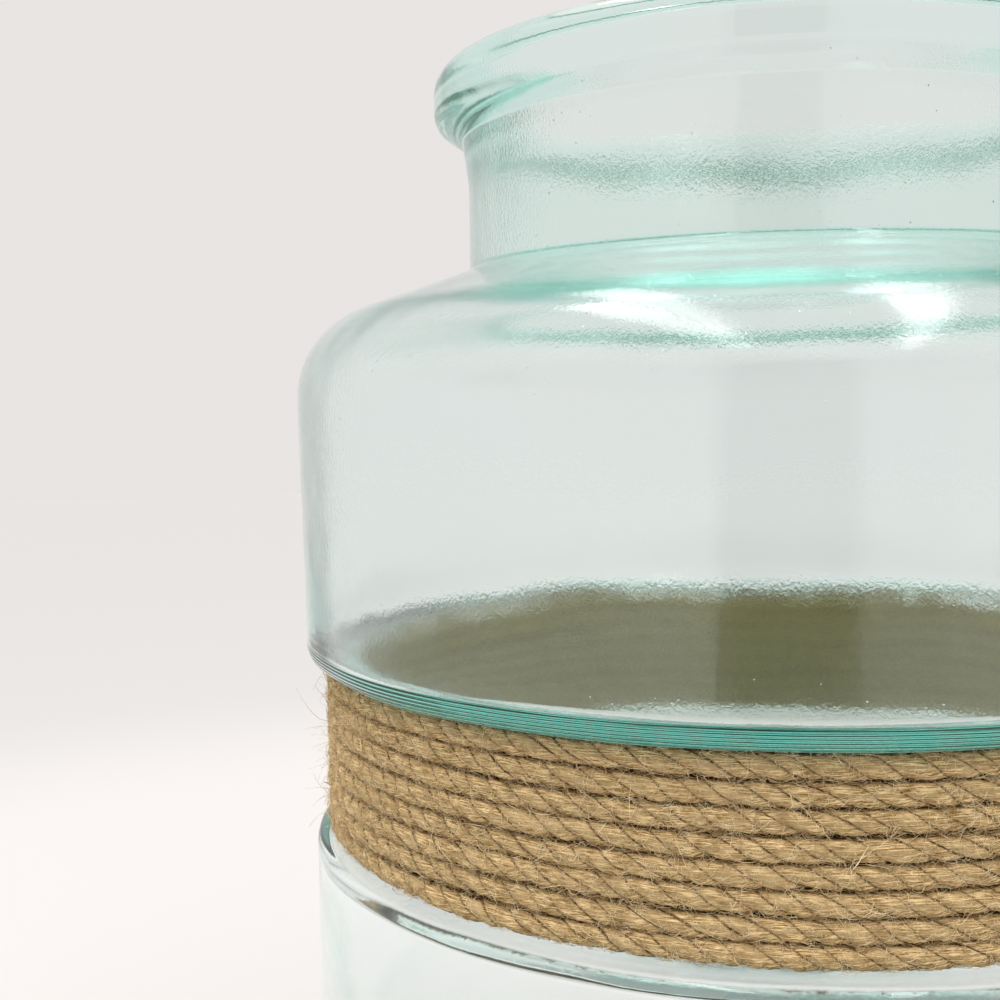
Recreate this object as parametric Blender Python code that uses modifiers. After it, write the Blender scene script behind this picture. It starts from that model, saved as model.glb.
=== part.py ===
"""Self-watering glass vase: a planter with a rope-wound waist, standing in the mouth of a reservoir.

The vase is modelled in metres, +Z up, with its origin at the centre of the reservoir's base.
"""
import math

import bpy
from mathutils import Vector

MM = 0.001

# Clearances
SEAT_GAP = 0.3 * MM
SPIGOT_PLAY = 0.6 * MM
ROPE_CLEARANCE = 0.35 * MM

# Rope: the plain tube that stands for the twisted rope, and how it is wound
ROPE_TURNS = 8
ROPE_DIAMETER = 3.7 * MM
ROPE_TURN_GAP = 0.5 * MM
POINTS_PER_TURN = 24
CLIMB_TURN = 0.25
SEAM_ANGLE = math.radians(-7.5)

# Reservoir: heights are taken from the surface that the vase stands on
RESERVOIR_RADIUS = 98.2 * MM
RESERVOIR_SHOULDER_HEIGHT = 110.0 * MM
RESERVOIR_SHOULDER_DROP = 1.7 * MM
RESERVOIR_SHOULDER_FILLET = 2.4 * MM
RESERVOIR_WALL = 3.0 * MM
RESERVOIR_BASE = 7.0 * MM
RESERVOIR_HEEL_FILLET = 6.0 * MM
RESERVOIR_FLOOR_FILLET = 9.0 * MM
FOOT_WIDTH = 16.0 * MM
PUNT_DEPTH = 2.0 * MM
PUNT_SLOPE = 4.0 * MM
RESERVOIR_INNER_FILLET = 1.0 * MM
MOUTH_EDGE_FILLET = 0.4 * MM
MOUTH_UNDERSIDE_FILLET = 1.0 * MM

# Waist of the planter, which carries the rope, and the spigot under it, which stands in the reservoir's mouth
WAIST_INSET = 7.8 * MM
WAIST_WALL = 4.4 * MM
WAIST_TOP_FILLET = 3.0 * MM
WAIST_STEP_FILLET = 0.3 * MM
SPIGOT_INSET = 2.2 * MM
SPIGOT_DEPTH = 2.4 * MM
SPIGOT_ROOT_FILLET = 0.4 * MM
SPIGOT_FOOT_FILLET = 1.0 * MM
PLANTER_FLOOR = 3.5 * MM
PLANTER_FLOOR_FILLET = 1.5 * MM
WICK_HOLE_RADIUS = 6.0 * MM
WICK_HOLE_FILLET = 0.8 * MM

# Body, neck and rim of the planter: heights are taken from the underside of its heel
PLANTER_OVERHANG = 2.0 * MM
PLANTER_TAPER = 1.2 * MM
PLANTER_HEEL_FILLET = 4.2 * MM
PLANTER_WALL = 4.5 * MM
LEDGE_THICKNESS = 3.0 * MM
LEDGE_FILLET = 4.0 * MM
LEDGE_ROOT_FILLET = 1.5 * MM
SHOULDER_FILLET = 19.4 * MM
SHOULDER_SLOPE = math.radians(18.4)
THROAT_RADIUS = 63.5 * MM
THROAT_ROOT_HEIGHT = 80.4 * MM
THROAT_ROOT_FILLET = 2.0 * MM
THROAT_HEIGHT = 26.9 * MM
RIM_OVERHANG = 7.0 * MM
RIM_CREASE_FILLET = 1.5 * MM
RIM_FLARE_RISE = 4.1 * MM
RIM_EDGE_FILLET = 3.5 * MM
RIM_BEAD_HEIGHT = 10.9 * MM
RIM_TOP_FILLET = 5.6 * MM

# Smoothness of the solids
TURNED_STEPS = 48
ARC_ERROR = 0.15 * MM
LEAST_ARC_STEPS = 2
STRAIGHT_ANGLE = math.radians(179.5)
SHARED_FILLET = 0.48
MERGE_DISTANCE = 0.00001

# Colours and finishes
GLASS_COLOUR = (0.78, 0.92, 0.87, 1.0)
GLASS_ROUGHNESS = 0.05
GLASS_INDEX = 1.52
JUTE_COLOUR = (0.48, 0.33, 0.18, 1.0)
JUTE_ROUGHNESS = 0.9

# Sizes that follow from those above
ROPE_PITCH = ROPE_DIAMETER + ROPE_TURN_GAP
WAIST_RADIUS = RESERVOIR_RADIUS - WAIST_INSET
WAIST_BORE = WAIST_RADIUS - WAIST_WALL
SPIGOT_RADIUS = WAIST_RADIUS - SPIGOT_INSET
MOUTH_RADIUS = SPIGOT_RADIUS + SPIGOT_PLAY
PLANTER_SEAT_HEIGHT = RESERVOIR_SHOULDER_HEIGHT + SEAT_GAP
HEEL_HEIGHT = ROPE_TURNS * ROPE_PITCH + SEAT_GAP
PLANTER_RADIUS = RESERVOIR_RADIUS + PLANTER_OVERHANG
PLANTER_HEEL_RADIUS = PLANTER_RADIUS - PLANTER_TAPER
RIM_RADIUS = THROAT_RADIUS + RIM_OVERHANG
RIM_CREASE_HEIGHT = THROAT_ROOT_HEIGHT + THROAT_HEIGHT
RIM_EDGE_HEIGHT = RIM_CREASE_HEIGHT + RIM_FLARE_RISE
RIM_TOP_HEIGHT = RIM_EDGE_HEIGHT + RIM_BEAD_HEIGHT
CHORD_SHARE = math.cos(math.pi / POINTS_PER_TURN)
ROPE_CENTRE_RADIUS = (WAIST_RADIUS + ROPE_CLEARANCE + ROPE_DIAMETER / 2) / CHORD_SHARE
ROPE_LOWEST_CENTRE = RESERVOIR_SHOULDER_HEIGHT + ROPE_CLEARANCE + ROPE_DIAMETER / 2


def clear_scene():
    """Remove every object of the scene that the script runs in."""
    for item in list(bpy.data.objects):
        bpy.data.objects.remove(item, do_unlink=True)


def make_collection(name):
    """Add an empty collection to the scene."""
    collection = bpy.data.collections.new(name)
    bpy.context.scene.collection.children.link(collection)
    return collection


def make_glass(name):
    """A clear glass with a faint green tint."""
    material = bpy.data.materials.new(name)
    material.use_nodes = True
    shader = material.node_tree.nodes["Principled BSDF"]
    shader.inputs["Base Color"].default_value = GLASS_COLOUR
    shader.inputs["Roughness"].default_value = GLASS_ROUGHNESS
    shader.inputs["Metallic"].default_value = 0.0
    shader.inputs["IOR"].default_value = GLASS_INDEX
    shader.inputs["Transmission Weight"].default_value = 1.0
    return material


def make_jute(name):
    """A dull tan plant fibre."""
    material = bpy.data.materials.new(name)
    material.use_nodes = True
    shader = material.node_tree.nodes["Principled BSDF"]
    shader.inputs["Base Color"].default_value = JUTE_COLOUR
    shader.inputs["Roughness"].default_value = JUTE_ROUGHNESS
    shader.inputs["Metallic"].default_value = 0.0
    return material


def arc_points(before, corner, after, fillet):
    """Points of the arc that rounds one corner of an outline, or the corner itself where it is sharp."""
    to_before = before - corner
    to_after = after - corner
    opening = to_before.angle(to_after)
    if fillet <= 0.0 or opening > STRAIGHT_ANGLE:
        return [corner]
    half = opening / 2
    reach = fillet / math.tan(half)
    reach = min(reach, SHARED_FILLET * to_before.length, SHARED_FILLET * to_after.length)
    radius = reach * math.tan(half)
    middle = (to_before.normalized() + to_after.normalized()).normalized()
    centre = corner + middle * (radius / math.sin(half))
    start = corner + to_before.normalized() * reach - centre
    sweep = start.angle_signed(corner + to_after.normalized() * reach - centre)
    step = 2 * math.acos(1 - min(1.0, ARC_ERROR / radius))
    count = max(LEAST_ARC_STEPS, math.ceil(abs(sweep) / step))
    points = []
    for index in range(count + 1):
        angle = -sweep * index / count
        turned = Vector((start.x * math.cos(angle) - start.y * math.sin(angle),
                         start.x * math.sin(angle) + start.y * math.cos(angle)))
        points.append(centre + turned)
    return points


def rounded_outline(corners, closed):
    """Round the corners of an outline given as (radius, height, fillet)."""
    places = [Vector(corner[:2]) for corner in corners]
    fillets = [corner[2] for corner in corners]
    last = len(corners) - 1
    outline = []
    for index, place in enumerate(places):
        if not closed and index in (0, last):
            outline.append(place)
            continue
        after = places[(index + 1) % len(places)]
        outline.extend(arc_points(places[index - 1], place, after, fillets[index]))
    return outline


def turned_piece(name, corners, closed, material, collection):
    """Turn an outline round the Z axis. The outline runs down the piece's outer side."""
    outline = rounded_outline(corners, closed)
    vertices = [(point.x, 0.0, point.y) for point in outline]
    edges = [(index, index + 1) for index in range(len(vertices) - 1)]
    if closed:
        edges.append((len(vertices) - 1, 0))
    mesh = bpy.data.meshes.new(name)
    mesh.from_pydata(vertices, edges, [])
    mesh.materials.append(material)
    piece = bpy.data.objects.new(name, mesh)
    collection.objects.link(piece)
    screw = piece.modifiers.new("turn", "SCREW")
    screw.axis = "Z"
    screw.angle = math.tau
    screw.steps = TURNED_STEPS
    screw.render_steps = TURNED_STEPS
    screw.use_merge_vertices = True
    screw.merge_threshold = MERGE_DISTANCE
    screw.use_smooth_shade = True
    return piece


def body_corners():
    """Outline of the planter's body, neck and rim, down the outside and up the inside, from the heel up."""
    slope = math.tan(SHOULDER_SLOPE)
    shoulder_height = THROAT_ROOT_HEIGHT - (PLANTER_RADIUS - THROAT_RADIUS) * slope
    inner_drop = PLANTER_WALL / math.cos(SHOULDER_SLOPE)
    bore = THROAT_RADIUS - PLANTER_WALL
    inner_radius = PLANTER_RADIUS - PLANTER_WALL
    bore_height = THROAT_ROOT_HEIGHT + PLANTER_WALL * slope - inner_drop
    inner_shoulder = shoulder_height + PLANTER_WALL * slope - inner_drop
    outside = [
        (RIM_RADIUS, RIM_TOP_HEIGHT, RIM_TOP_FILLET),
        (RIM_RADIUS, RIM_EDGE_HEIGHT, RIM_EDGE_FILLET),
        (THROAT_RADIUS, RIM_CREASE_HEIGHT, RIM_CREASE_FILLET),
        (THROAT_RADIUS, THROAT_ROOT_HEIGHT, THROAT_ROOT_FILLET),
        (PLANTER_RADIUS, shoulder_height, SHOULDER_FILLET),
        (PLANTER_HEEL_RADIUS, 0.0, PLANTER_HEEL_FILLET),
    ]
    inside = [
        (PLANTER_HEEL_RADIUS - PLANTER_WALL, LEDGE_THICKNESS, LEDGE_ROOT_FILLET),
        (inner_radius, inner_shoulder, SHOULDER_FILLET - PLANTER_WALL),
        (bore, bore_height, THROAT_ROOT_FILLET + PLANTER_WALL),
        (bore, RIM_TOP_HEIGHT, RIM_TOP_FILLET),
    ]
    return outside, inside


def planter_corners():
    """Outline of the planter, with heights from the step that it stands on: body, waist, spigot and floor."""
    outside, inside = body_corners()
    foot = -SPIGOT_DEPTH
    floor = foot + PLANTER_FLOOR
    waist = [
        (WAIST_RADIUS, HEEL_HEIGHT, WAIST_TOP_FILLET),
        (WAIST_RADIUS, 0.0, WAIST_STEP_FILLET),
        (SPIGOT_RADIUS, 0.0, SPIGOT_ROOT_FILLET),
        (SPIGOT_RADIUS, foot, SPIGOT_FOOT_FILLET),
        (WICK_HOLE_RADIUS, foot, WICK_HOLE_FILLET),
        (WICK_HOLE_RADIUS, floor, WICK_HOLE_FILLET),
        (WAIST_BORE, floor, PLANTER_FLOOR_FILLET),
        (WAIST_BORE, HEEL_HEIGHT + LEDGE_THICKNESS, LEDGE_FILLET),
    ]
    return raised(outside, HEEL_HEIGHT) + waist + raised(inside, HEEL_HEIGHT)


def raised(corners, height):
    """The same corners, higher up."""
    return [(radius, level + height, fillet) for radius, level, fillet in corners]


def reservoir_corners():
    """Outline of the reservoir: from the floor's centre up the inside and down the outside to the base."""
    inner_radius = RESERVOIR_RADIUS - RESERVOIR_WALL
    floor_height = PUNT_DEPTH + RESERVOIR_BASE
    underside = RESERVOIR_SHOULDER_HEIGHT - RESERVOIR_WALL
    shoulder_edge = RESERVOIR_SHOULDER_HEIGHT - RESERVOIR_SHOULDER_DROP
    foot_inner = RESERVOIR_RADIUS - RESERVOIR_HEEL_FILLET - FOOT_WIDTH
    inside = [
        (0.0, floor_height, 0.0),
        (inner_radius, floor_height, RESERVOIR_FLOOR_FILLET),
        (inner_radius, shoulder_edge - RESERVOIR_WALL, RESERVOIR_INNER_FILLET),
    ]
    mouth = [
        (MOUTH_RADIUS, underside, MOUTH_UNDERSIDE_FILLET),
        (MOUTH_RADIUS, RESERVOIR_SHOULDER_HEIGHT, MOUTH_EDGE_FILLET),
    ]
    outside = [
        (RESERVOIR_RADIUS, shoulder_edge, RESERVOIR_SHOULDER_FILLET),
        (RESERVOIR_RADIUS, 0.0, RESERVOIR_HEEL_FILLET),
    ]
    base = [
        (foot_inner, 0.0, 0.0),
        (foot_inner - PUNT_SLOPE, PUNT_DEPTH, 0.0),
        (0.0, PUNT_DEPTH, 0.0),
    ]
    return inside + mouth + outside + base


def rope_drop(turns):
    """How far the winding has come down after some turns: level, then one pitch lower in the last stretch."""
    whole = math.floor(turns)
    climb = max(0.0, (turns - whole - (1 - CLIMB_TURN)) / CLIMB_TURN)
    eased = climb * climb * (3 - 2 * climb)
    return ROPE_PITCH * (whole + eased)


def rope_points():
    """Centre line of the winding, from its highest turn down, with a straight length at each end."""
    highest = ROPE_LOWEST_CENTRE + (ROPE_TURNS - 1) * ROPE_PITCH
    last_turn = ROPE_TURNS - CLIMB_TURN
    count = round(last_turn * POINTS_PER_TURN)
    turns = []
    for index in range(count + 1):
        along = index / POINTS_PER_TURN
        angle = SEAM_ANGLE + math.tau * (CLIMB_TURN / 2 + along)
        turns.append(Vector((ROPE_CENTRE_RADIUS * math.cos(angle), ROPE_CENTRE_RADIUS * math.sin(angle),
                             highest - rope_drop(along))))
    start_run = Vector((-turns[0].y, turns[0].x, 0.0)).normalized() * ROPE_DIAMETER
    end_run = Vector((-turns[-1].y, turns[-1].x, 0.0)).normalized() * ROPE_DIAMETER
    return [turns[0] - start_run] + turns + [turns[-1] + end_run]


def least_rope_gap(points):
    """Least distance between the surfaces of the rope's neighbouring turns, measured on its points."""
    apart = POINTS_PER_TURN // 2
    least = math.inf
    for first in range(len(points)):
        for second in range(first + apart, len(points)):
            least = min(least, (points[first] - points[second]).length - ROPE_DIAMETER)
    return least


def make_rope_winding(material, collection):
    """One unbroken tube along the winding's centre line."""
    points = rope_points()
    curve = bpy.data.curves.new("rope_winding", "CURVE")
    curve.dimensions = "3D"
    curve.twist_mode = "Z_UP"
    curve.bevel_depth = ROPE_DIAMETER / 2
    curve.bevel_resolution = 1
    curve.use_fill_caps = True
    spline = curve.splines.new("POLY")
    spline.points.add(len(points) - 1)
    for place, point in zip(spline.points, points):
        place.co = (point.x, point.y, point.z, 1.0)
    spline.use_smooth = True
    curve.materials.append(material)
    winding = bpy.data.objects.new("rope_winding", curve)
    collection.objects.link(winding)
    print("least gap between the rope's turns, mm:", round(least_rope_gap(points) / MM, 3))
    return winding


def make_frame(name, height, parent, collection):
    """An empty on the vase's axis that carries the pieces of one rigid group."""
    frame = bpy.data.objects.new(name, None)
    frame.location = (0.0, 0.0, height)
    frame.parent = parent
    collection.objects.link(frame)
    return frame


def main():
    """Build the vase."""
    clear_scene()
    vase = make_collection("self_watering_vase")
    glass = make_glass("planter_glass")
    reservoir_glass = make_glass("reservoir_glass")
    jute = make_jute("jute")
    base = make_frame("vase_base", 0.0, None, vase)
    seat = make_frame("planter_seat", PLANTER_SEAT_HEIGHT, base, vase)
    reservoir = turned_piece("reservoir", reservoir_corners(), False, reservoir_glass, vase)
    reservoir.parent = base
    winding = make_rope_winding(jute, vase)
    winding.parent = seat
    winding.location = (0.0, 0.0, -PLANTER_SEAT_HEIGHT)
    planter = turned_piece("planter", planter_corners(), True, glass, vase)
    planter.parent = seat


main()
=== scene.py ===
"""Looks of the self-watering vase: green recycled glass, wound jute rope and a pale studio.

Everything is in metres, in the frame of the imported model: +Z up, origin under the reservoir's base.
"""
import math
import random

import bmesh
import bpy
import numpy as np
from mathutils import Matrix, Vector


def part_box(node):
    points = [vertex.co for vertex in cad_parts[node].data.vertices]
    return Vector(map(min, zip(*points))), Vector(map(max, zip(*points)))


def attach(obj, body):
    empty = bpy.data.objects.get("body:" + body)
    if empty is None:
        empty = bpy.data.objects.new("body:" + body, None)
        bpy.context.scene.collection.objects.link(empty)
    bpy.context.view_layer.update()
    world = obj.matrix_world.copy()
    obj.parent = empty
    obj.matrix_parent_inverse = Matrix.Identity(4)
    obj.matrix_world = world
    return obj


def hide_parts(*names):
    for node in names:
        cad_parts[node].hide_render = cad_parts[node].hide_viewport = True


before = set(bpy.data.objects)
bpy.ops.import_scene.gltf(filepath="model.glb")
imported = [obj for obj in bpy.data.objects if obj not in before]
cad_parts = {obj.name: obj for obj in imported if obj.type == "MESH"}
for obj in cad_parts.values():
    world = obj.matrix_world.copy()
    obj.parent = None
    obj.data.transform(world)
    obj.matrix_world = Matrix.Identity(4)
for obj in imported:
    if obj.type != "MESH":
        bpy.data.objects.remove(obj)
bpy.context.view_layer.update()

MM = 0.001
PLANTER_LOW, PLANTER_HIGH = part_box("planter")
ROPE_LOW, ROPE_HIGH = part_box("rope_winding")

# Planter glass: radii, and heights above the underside of its heel
RIM_TOP = 122.3 * MM
HEEL_LEVEL = PLANTER_HIGH.z - RIM_TOP
FOOT = PLANTER_LOW.z - HEEL_LEVEL
PLANTER_RADIUS = 100.2 * MM
PLANTER_TAPER = 1.2 * MM
PLANTER_HEEL_FILLET = 4.2 * MM
PLANTER_WALL = 4.5 * MM
SHOULDER_FILLET = 19.4 * MM
SHOULDER_SLOPE = math.radians(18.4)
THROAT_RADIUS = 63.5 * MM
THROAT_ROOT = 80.4 * MM
THROAT_ROOT_FILLET = 2.0 * MM
THROAT_FLARE = 1.2 * MM
THROAT_FLARE_DROP = 9.0 * MM
THROAT_FLARE_FILLET = 25.0 * MM
RIM_RADIUS = 70.5 * MM
RIM_CREASE = 107.3 * MM
RIM_CREASE_FILLET = 0.8 * MM
RIM_EDGE = 111.4 * MM
RIM_EDGE_FILLET = 3.5 * MM
RIM_TOP_FILLET = 5.6 * MM
LEDGE_THICKNESS = 1.8 * MM
LEDGE_FILLET = 1.8 * MM
LEDGE_ROOT_FILLET = 3.6 * MM
WAIST_RADIUS = 90.4 * MM
WAIST_BORE = 86.0 * MM
WAIST_TOP_FILLET = 3.0 * MM
WAIST_STEP_FILLET = 0.3 * MM
SPIGOT_RADIUS = 88.2 * MM
SPIGOT_DEPTH = 2.4 * MM
SPIGOT_ROOT_FILLET = 0.4 * MM
SPIGOT_FOOT_FILLET = 1.0 * MM
PLANTER_FLOOR = 3.5 * MM
PLANTER_FLOOR_FILLET = 1.5 * MM
WICK_HOLE_RADIUS = 6.0 * MM
WICK_HOLE_FILLET = 0.8 * MM

# Reservoir glass: heights above the surface that the vase stands on
RESERVOIR_RADIUS = 98.2 * MM
RESERVOIR_SHOULDER = 110.0 * MM
RESERVOIR_SHOULDER_DROP = 1.7 * MM
RESERVOIR_SHOULDER_FILLET = 2.4 * MM
RESERVOIR_WALL = 3.0 * MM
RESERVOIR_BASE = 7.0 * MM
RESERVOIR_HEEL_FILLET = 6.0 * MM
RESERVOIR_FLOOR_FILLET = 9.0 * MM
FOOT_WIDTH = 16.0 * MM
PUNT_DEPTH = 2.0 * MM
PUNT_SLOPE = 4.0 * MM
RESERVOIR_INNER_FILLET = 1.0 * MM
MOUTH_RADIUS = 88.8 * MM
MOUTH_EDGE_FILLET = 0.4 * MM
MOUTH_UNDERSIDE_FILLET = 1.0 * MM

# How finely the turned glass is divided
GLASS_SEGMENTS = 288
ARC_STEP = math.radians(7.0)
RUN_STEP = 3.0 * MM

# Unevenness of pressed glass: slow waves and a finer ripple, fading out at the foot and at the axis
SLOW_WAVE_HEIGHT = 0.10 * MM
SLOW_WAVE_LENGTH = 45.0 * MM
FINE_WAVE_HEIGHT = 0.012 * MM
FINE_WAVE_LENGTH = 11.0 * MM
WAVES_IN_SUM = 14
WAVE_FADE = 8.0 * MM
AXIS_FADE = 60.0 * MM
PLANTER_WAVE_SEED = 11
RESERVOIR_WAVE_SEED = 23

# Points closer than the first are one point, and the second keeps a length from being zero
SAME_PLACE = 1e-6
NEVER_ZERO = 1e-12

# Glass optics: its index, how fast it takes light away per metre, and the deeper green of the thick neck
GLASS_INDEX = 1.52
CLEAR = (1.0, 1.0, 1.0, 1.0)
GLASS_DENSITY = 13.0
GLASS_TINT = (0.083, 0.85, 0.715, 1.0)
NECK_GREEN = (0.90, 0.975, 0.95, 1.0)
NECK_GREEN_START = 0.4
NECK_GREEN_FULL = 0.7
ROOT_GREEN = (0.50, 0.90, 0.81, 1.0)
ROOT_GREEN_DROP = 4.0 * MM
ROOT_GREEN_FADE = 2.0 * MM

# Pebbling of the glass where it met a cold mould, and the small blisters among it
PEBBLE_SIZE = 0.6 * MM
PEBBLE_DETAIL = 3.0
PEBBLE_FINE_SHARE = 0.65
PEBBLE_STRETCH = 0.75
PEBBLE_DEPTH = 0.08 * MM
BLISTER_SPACING = 2.8 * MM
BLISTER_SHARE = 0.09
BLISTER_DEPTH = 0.10 * MM
BLISTER_START = 0.2
BLISTER_FULL = 0.4

# How strongly each stretch of glass is pebbled, from 0 to 1
SMOOTH = 0.0
FAINT = 0.1
SLIGHT = 0.2
MILD = 0.3
UNDER_SHOULDER_PEBBLE = 0.15
SHOULDER_PEBBLE = 0.35
NECK_ROOT_PEBBLE = 0.8
NECK_PEBBLE = 1.0

# Fine level lines round the planter's heel: a slight relief, with a painted teal band for light seen edge-on
# through the floor glass and painted dark lines for reflections of the dark gap between the rope and the heel
HEEL_LINE_SPACING = 0.7 * MM
HEEL_LINE_LENGTH = 45.0 * MM
HEEL_LINE_WAVER = 4.0
HEEL_LINE_WAVER_RATE = 0.5
HEEL_LINE_WAVER_DETAIL = 2.0
HEEL_LINE_DEPTH = 0.07 * MM
HEEL_LINE_TOP = 4.5 * MM
HEEL_LINE_FADE = 0.3 * MM
HEEL_LINE_RADIUS = 95.5 * MM
HEEL_LINE_PAINTED_TEAL = (0.05, 0.54, 0.42, 1.0)
HEEL_LINE_PAINTED_REFLECTION = (0.0, 0.006, 0.003, 1.0)
HEEL_LINE_PAINTED_REFLECTION_START = 0.3
HEEL_LINE_PAINTED_REFLECTION_FULL = 0.9

# Rope: three strands laid together, wound on the planter's waist, and how its section is pressed
ROPE_TURNS = 8
ROPE_RADIUS = 2.3 * MM
ROPE_PITCH = 4.2 * MM
ROPE_LAY = 16.0 * MM
ROPE_STANDOFF = 0.20 * MM
STRAND_RADIUS = 1.5 * MM
STRAND_WANDER = 0.24
STRAND_WAVES = 45.0
STRAND_SWELL = 0.08
SWELL_WAVES = 60.0
STRANDS = 3
CLIMB_TURN = 0.25
SEAM_ANGLE = math.radians(-7.5)
CAD_ROPE_DIAMETER = ROPE_HIGH.z - ROPE_LOW.z - (ROPE_TURNS - 1) * ROPE_PITCH
ROPE_CENTRE_RADIUS = WAIST_RADIUS + ROPE_STANDOFF + ROPE_RADIUS
ROPE_HIGHEST = ROPE_HIGH.z - CAD_ROPE_DIAMETER / 2
ROPE_SIDES = 36
ROPE_STEP = 0.6 * MM
ROPE_WANDER = 0.12 * MM
TWIST_WANDER = 0.35
TWIST_WAVES = 20.0
ROPE_ROUGHNESS = 0.20 * MM
GROOVE_DEPTH = 0.45 * MM
SQUEEZE_HALF = 2.25 * MM
SQUEEZE_POWER = 8
OUTER_STRETCH = 0.98
INNER_STRETCH = 1.5
# The creases between turns get painted shade. The inner face gets painted light, and painted shade again in
# its creases
CREASE_SHADE_START = 0.70
INNER_FACE = -0.4
INNER_CREASE_SHADE = 0.9
TURN_MARGIN = 1e-6

# Random shifts along the rope: the fastest waves to a turn, the slowest as a share of them, and the seeds
WANDER_WAVES = 9.0
WANDER_SLOWEST = 0.15
WANDER_TERMS = 9
RADIUS_SEED = 5
HEIGHT_SEED = 6
TWIST_SEED = 7
ROUGHNESS_SEED = 31
STRAND_SEED = 50
SWELL_SEED = 60

# Jute: its colours, and how fine its streaks, patches and grain are, per metre
JUTE_ROUGHNESS = 0.85
JUTE_SPECULAR = 0.25
JUTE_BUMP = 0.10 * MM
JUTE_STREAK_SCALE = (330.0, 4600.0, 0.0)
JUTE_STREAK_DETAIL = 3.0
JUTE_STREAK_FINE_SHARE = 0.65
JUTE_STREAK_RANGE = (0.40, 0.62)
JUTE_STREAK_DARK = (0.27, 0.165, 0.045, 1.0)
JUTE_STREAK_PALE = (0.94, 0.71, 0.38, 1.0)
JUTE_PATCH_SCALE = 150.0
JUTE_PATCH_DETAIL = 3.0
JUTE_PATCH_RANGE = (0.45, 0.80)
JUTE_PATCH = (0.60, 0.44, 0.225, 1.0)
JUTE_GRAIN_SCALE = 2200.0
JUTE_GRAIN_DETAIL = 2.0
JUTE_GRAIN_FINE_SHARE = 0.7
JUTE_GRAIN_RANGE = (0.56, 0.78)
JUTE_GRAIN = (0.92, 0.75, 0.47, 1.0)
# Painted shade in the grooves and in the creases between turns
JUTE_PAINTED_SHADE_RANGE = (0.30, 0.95)
JUTE_PAINTED_SHADE = (0.06, 0.028, 0.003, 1.0)
# Painted light on the rope's inner face, seen through the glass
JUTE_PAINTED_LIGHT_RANGE = (-1.0, -0.1)
JUTE_PAINTED_LIGHT = (0.95, 0.77, 0.37, 1.0)

# Loose fibres of the jute: thin tapered tubes, paler than the rope
FIBRE_SEED = 47
FIBRE_ROUGHNESS = 0.5
FIBRE_TONE_SCALE = 420.0
FIBRE_TONE_DETAIL = 2.0
FIBRE_TONE_RANGE = (0.35, 0.65)
FIBRE_DARK = (0.62, 0.43, 0.20, 1.0)
FIBRE_PALE = (1.0, 0.84, 0.53, 1.0)
FIBRE_POINTS = 6
FIBRE_SIDES = 3
FIBRE_TAPER = 0.6
FIBRE_ROOT = 0.35 * MM
FIBRE_CLEARANCE = 0.15 * MM
FIBRE_START_ANGLE = 1.8
FIBRE_HELD_SHARE = 0.95
FIBRE_SLANT = (0.31, 0.52, 0.79)

# Kinds of fibre: count, length, lift, spread and curl of the heading, reach and radius, in mm and radians
FUZZ = (34000, (1.4, 4.8), (0.25, 0.80), 1.0, 3.0, (0.0, 0.50), (0.030, 0.060))
STRAYS = (4200, (3.0, 9.0), (0.4, 1.4), 1.3, 3.2, (0.0, 1.0), (0.045, 0.080))
SPLINTERS = (120, (2.5, 6.0), (0.4, 0.8), 0.9, 0.3, (0.0, 0.8), (0.10, 0.19))
FLYAWAYS = (260, (3.0, 9.0), (0.3, 1.2), 1.3, 1.8, (1.0, 5.0), (0.030, 0.050))
FIBRE_KINDS = [FUZZ, STRAYS, SPLINTERS, FLYAWAYS]

# Long loose fibres at the left: angle round the axis, height, and how far each goes out, round and up, in mm
LONG_FIBRES = [
    (198.0, 131.5, 7.0, 1.0, 8.0),
    (199.0, 131.0, 5.2, -1.0, -0.6),
    (200.0, 128.5, 2.0, -2.0, 2.5),
    (197.5, 121.0, 2.4, 1.5, -3.0),
    (199.5, 117.0, 2.2, -1.5, 2.0),
]
LONG_FIBRE_RADIUS = 0.055 * MM
LONG_FIBRE_OUT_POWER = 0.7
LONG_FIBRE_RISE_POWER = 1.4
LONG_FIBRE_SWAY = 2.2

# Camera, fitted to the rings and outlines of the photograph
CAMERA_PLACE = Vector((0.0, -308.95 * MM, 197.2 * MM))
CAMERA_YAW = -0.1888
CAMERA_PITCH = 0.0682
CAMERA_ROLL = -0.0167
CAMERA_LENS = 51.0
CAMERA_SENSOR = 36.0
CAMERA_NEAR_CLIP = 0.01

# Studio: the floor, the pale room and two strip lights
FLOOR_RADIUS = 3.0
FLOOR_SIDES = 96
FLOOR_ROUGHNESS = 0.9
FLOOR_PAINT = (0.45, 0.445, 0.44, 1.0)
# Painted light: the floor's glow for rays that show it, near the vase and far off
FLOOR_GLOW_NEAR = (0.22, 0.21, 0.205, 1.0)
FLOOR_GLOW_FAR = (0.105, 0.112, 0.112, 1.0)
FLOOR_FADE_START = 0.45
FLOOR_FADE_END = 0.72
WORLD_COLOUR = (0.81, 0.78, 0.77, 1.0)
WORLD_LIGHT_ABOVE = 2.5
WORLD_LIGHT_LEVEL = 0.65
STRIP_HEIGHT = 0.62
STRIP_WIDTH = 0.075
STRIP_LENGTH = 0.85
STRIP_RADIANCE = 4.4

# The strips' places across and along, as shares of their height, and how they slant
STRIP_LEFT_PLACE = (-0.235, -0.30)
STRIP_LEFT_SLANT = 0.145
STRIP_RIGHT_PLACE = (0.45, -0.40)
STRIP_RIGHT_SLANT = 0.316

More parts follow.
